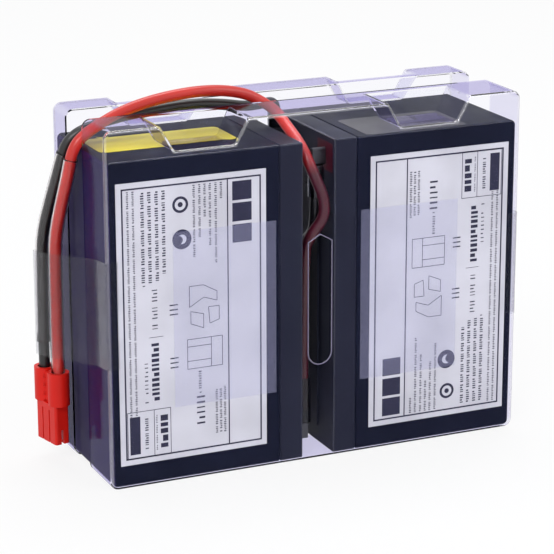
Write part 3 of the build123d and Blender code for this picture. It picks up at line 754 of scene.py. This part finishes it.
def printWords(rows):
    shapes = []
    spread = 0
    for u, top, bottom, height, stroke, space, groupLength in rows:
        v = top
        count = 0
        while v < bottom:
            spread = (spread * 5 + 3) % 11
            long = stroke * (printSet["strokeLeast"] + spread * printSet["strokeSpread"])
            low = u + height * (0.0, printSet["shortStroke"], 0.0)[spread % 3]
            end = min(v + long, bottom)
            shapes.append([(low, v), (u + height, v), (u + height, end), (low, end)])
            count += 1
            v += long + space * (printSet["wordSpace"] if count % groupLength == 0 else 1.0)
    return shapes


def ringParts(u, v, outer, inner):
    parts = []
    steps = printSet["ringSteps"]
    for step in range(steps):
        a, b = 2 * math.pi * step / steps, 2 * math.pi * (step + 1) / steps
        arc = [(u + outer * math.cos(turn), v + outer * math.sin(turn)) for turn in (a, b)]
        if inner:
            arc += [(u + inner * math.cos(turn), v + inner * math.sin(turn)) for turn in (b, a)]
        else:
            arc.append((u, v))
        parts.append(arc)
    return parts


def printMesh(name, shapes, material, onLeft):
    mesh = bpy.data.meshes.new(name)
    form = bmesh.new()
    way = 1 if onLeft else -1
    front = printSet["paperY"] - printSet["lift"]

    def corner(u, v, y):
        x = way * (printSet["edgeFromBase"] + u - printSet["baseX"])
        z = printSet["middleZ"] + way * (printSet["topFromMiddle"] - v)
        return form.verts.new((x * mm, y * mm, z * mm))

    for outline in shapes:
        turning = sum(a[0] * b[1] - b[0] * a[1] for a, b in zip(outline, outline[1:] + outline[:1]))
        if turning < 0:
            outline = outline[::-1]
        fore = [corner(u, v, front) for u, v in outline]
        rear = [corner(u, v, front + printSet["thickness"]) for u, v in outline]
        form.faces.new(fore)
        form.faces.new(rear[::-1])
        for index in range(len(fore)):
            after = (index + 1) % len(fore)
            form.faces.new((fore[after], fore[index], rear[index], rear[after]))
    bmesh.ops.recalc_face_normals(form, faces=form.faces)
    form.to_mesh(mesh)
    form.free()
    piece = addPiece(name, mesh, material)
    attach(piece, "root")


ringShapes = [part for ring in printRings for part in ringParts(*ring)]
for sideName, onLeft in (("left", True), ("right", False)):
    heavy = printOutlines() + printWords(printHeavy) + ringShapes
    printMesh(f"{sideName}LabelPrint", heavy, inkMaterial, onLeft)
    printMesh(f"{sideName}LabelWords", printWords(printText), softInk, onLeft)
print("label print laid")

# Frosted pads between the labels and the front tray, cut just inside the room left for them
frostSet = {
    "color": (0.56, 0.57, 0.80),
    "roughness": 0.4,
    "shine": 0.2,
    "clearest": 0.06,
    "milkiest": 0.13,
    "lineScale": 900.0,
    "lineFrom": 0.2,
    "lineTo": 0.9,
    "front": -32.86,
    "rear": -32.72,
    "bottom": 35.3,
    "top": 117.3,
    "left": (-71.6, -21.4),
    "right": (21.4, 71.6),
}
frost = plainMaterial(
    "frostedPad", frostSet["color"], frostSet["roughness"], Specular_IOR_Level=frostSet["shine"],
)
tree = frost.node_tree
group = placeGroup(frost, lineGroup, Scale=frostSet["lineScale"])
milk = ramp(
    tree, group.outputs["Lines"], frostSet["lineFrom"], frostSet["lineTo"],
    frostSet["clearest"], frostSet["milkiest"], -400, -100,
)
tree.links.new(milk, shaderOf(frost).inputs["Alpha"])
for sideName in ("left", "right"):
    spans = [frostSet[sideName], (frostSet["front"], frostSet["rear"]), (frostSet["bottom"], frostSet["top"])]
    form = bmesh.new()
    bmesh.ops.create_cube(form, size=1.0)
    for vertex in form.verts:
        vertex.co = Vector([
            (share * (last - first) + (first + last) / 2) * mm
            for share, (first, last) in zip(vertex.co, spans)
        ])
    mesh = bpy.data.meshes.new(f"{sideName}FrostedPad")
    form.to_mesh(mesh)
    form.free()
    pad = addPiece(f"{sideName}FrostedPad", mesh, frost)
    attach(pad, "root")
    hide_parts(f"{sideName}_adhesive_pad")
print("pads laid")

# Painted highlight: a pale bead along the lip of the finger slot, standing in for the bright rim of its cut
# edge
beadSet = {
    "half": 6.0,
    "bend": 52.3,
    "shoulder": 105.3,
    "peak": 108.7,
    "y": -34.3,
    "radius": 0.22,
    "arcSteps": 16,
    "bevelSteps": 3,
    "color": (0.20, 0.18, 0.30),
    "roughness": (0.1, 0.3),
    "shine": 0.6,
}
half = beadSet["half"]
beadLine = [(half, beadSet["bend"]), (half, beadSet["shoulder"]), (0, beadSet["peak"])]
beadLine += [(-half, beadSet["shoulder"]), (-half, beadSet["bend"])]
for step in range(1, beadSet["arcSteps"]):
    angle = math.pi * step / beadSet["arcSteps"]
    beadLine.append((-half * math.cos(angle), beadSet["bend"] - half * math.sin(angle)))
curve = bpy.data.curves.new("slotRimHighlight", "CURVE")
curve.dimensions = "3D"
spline = curve.splines.new("POLY")
spline.points.add(len(beadLine) - 1)
for point, (x, z) in zip(spline.points, beadLine):
    point.co = (x * mm, beadSet["y"] * mm, z * mm, 1)
spline.use_cyclic_u = True
curve.bevel_depth = beadSet["radius"] * mm
curve.bevel_resolution = beadSet["bevelSteps"]
# Painted highlight: the bead's pale violet plastic gives the slot's bright rim
rimHighlightPlastic = plainMaterial("rimHighlightPlastic", beadSet["color"], 0.15, Specular_IOR_Level=beadSet["shine"])
group = placeGroup(rimHighlightPlastic, grainGroup)
roughFrom(rimHighlightPlastic, group.outputs["Patch"], *beadSet["roughness"])
slotRimHighlight = addPiece("slotRimHighlight", curve, rimHighlightPlastic)
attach(slotRimHighlight, "root")
print("slot bead laid")

# Floor, backdrop and soft studio light, in metres
studioSet = {
    "floorSize": 12.0,
    "floorDrop": 0.0002,
    "floorColor": (0.86, 0.86, 0.87),
    "floorRoughness": 0.8,
    "floorShine": 0.1,
    "glowShare": 0.85,
    "skyColor": (0.97, 0.98, 1.0),
    "skyLevel": 0.55,
    "lampAim": (0, 0, 0.08),
}
lampSet = [
    {"name": "keyBox", "place": (-1.1, -1.2, 1.5), "size": (0.9, 0.9), "watts": 16.0},
    {"name": "fillBox", "place": (1.3, -1.0, 1.0), "size": (0.8, 1.2), "watts": 7.0},
    {"name": "topBox", "place": (0.2, 0.6, 1.8), "size": (1.2, 0.8), "watts": 14.0},
]


def backdropRays(tree):
    path = addNode(tree, "ShaderNodeLightPath", -300, 500)
    direct, through = path.outputs["Is Camera Ray"], path.outputs["Is Transmission Ray"]
    seen = mathNode(tree, "MAXIMUM", direct, through, -100, 500)
    return mathNode(tree, "MAXIMUM", seen, path.outputs["Is Glossy Ray"], 50, 500)


floorMesh = bpy.data.meshes.new("floor")
half = studioSet["floorSize"] / 2
floorCorners = [(-half, -half, 0), (half, -half, 0), (half, half, 0), (-half, half, 0)]
floorMesh.from_pydata(floorCorners, [], [(0, 1, 2, 3)])
floorMaterial = plainMaterial(
    "floorPaint", studioSet["floorColor"], studioSet["floorRoughness"],
    Specular_IOR_Level=studioSet["floorShine"],
)
tree = floorMaterial.node_tree
glow = addNode(tree, "ShaderNodeEmission", 0, 300)
glow.inputs["Color"].default_value = (1, 1, 1, 1)
share = mathNode(tree, "MULTIPLY", backdropRays(tree), studioSet["glowShare"], 200, 500)
surface = tree.nodes["Material Output"].inputs["Surface"]
mixShaders(tree, share, shaderOf(floorMaterial).outputs["BSDF"], glow.outputs["Emission"], surface)
floor = addPiece("floor", floorMesh, floorMaterial)
floor.location.z = -studioSet["floorDrop"]

world = bpy.data.worlds.new("studio")
bpy.context.scene.world = world
world.use_nodes = True
tree = world.node_tree
sky = tree.nodes["Background"]
sky.inputs["Color"].default_value = (*studioSet["skyColor"], 1)
sky.inputs["Strength"].default_value = studioSet["skyLevel"]
whiteBack = addNode(tree, "ShaderNodeBackground", 0, -200)
whiteBack.inputs["Color"].default_value = (1, 1, 1, 1)
surface = tree.nodes["World Output"].inputs["Surface"]
mixShaders(tree, backdropRays(tree), sky.outputs["Background"], whiteBack.outputs["Background"], surface)

for lamp in lampSet:
    light = bpy.data.lights.new(lamp["name"], "AREA")
    light.shape = "RECTANGLE"
    light.size, light.size_y = lamp["size"]
    light.energy = lamp["watts"]
    holder = addPiece(lamp["name"], light)
    holder.location = lamp["place"]
    aim = Vector(studioSet["lampAim"]) - Vector(lamp["place"])
    holder.rotation_euler = aim.to_track_quat("-Z", "Y").to_euler()
print("studio ready")
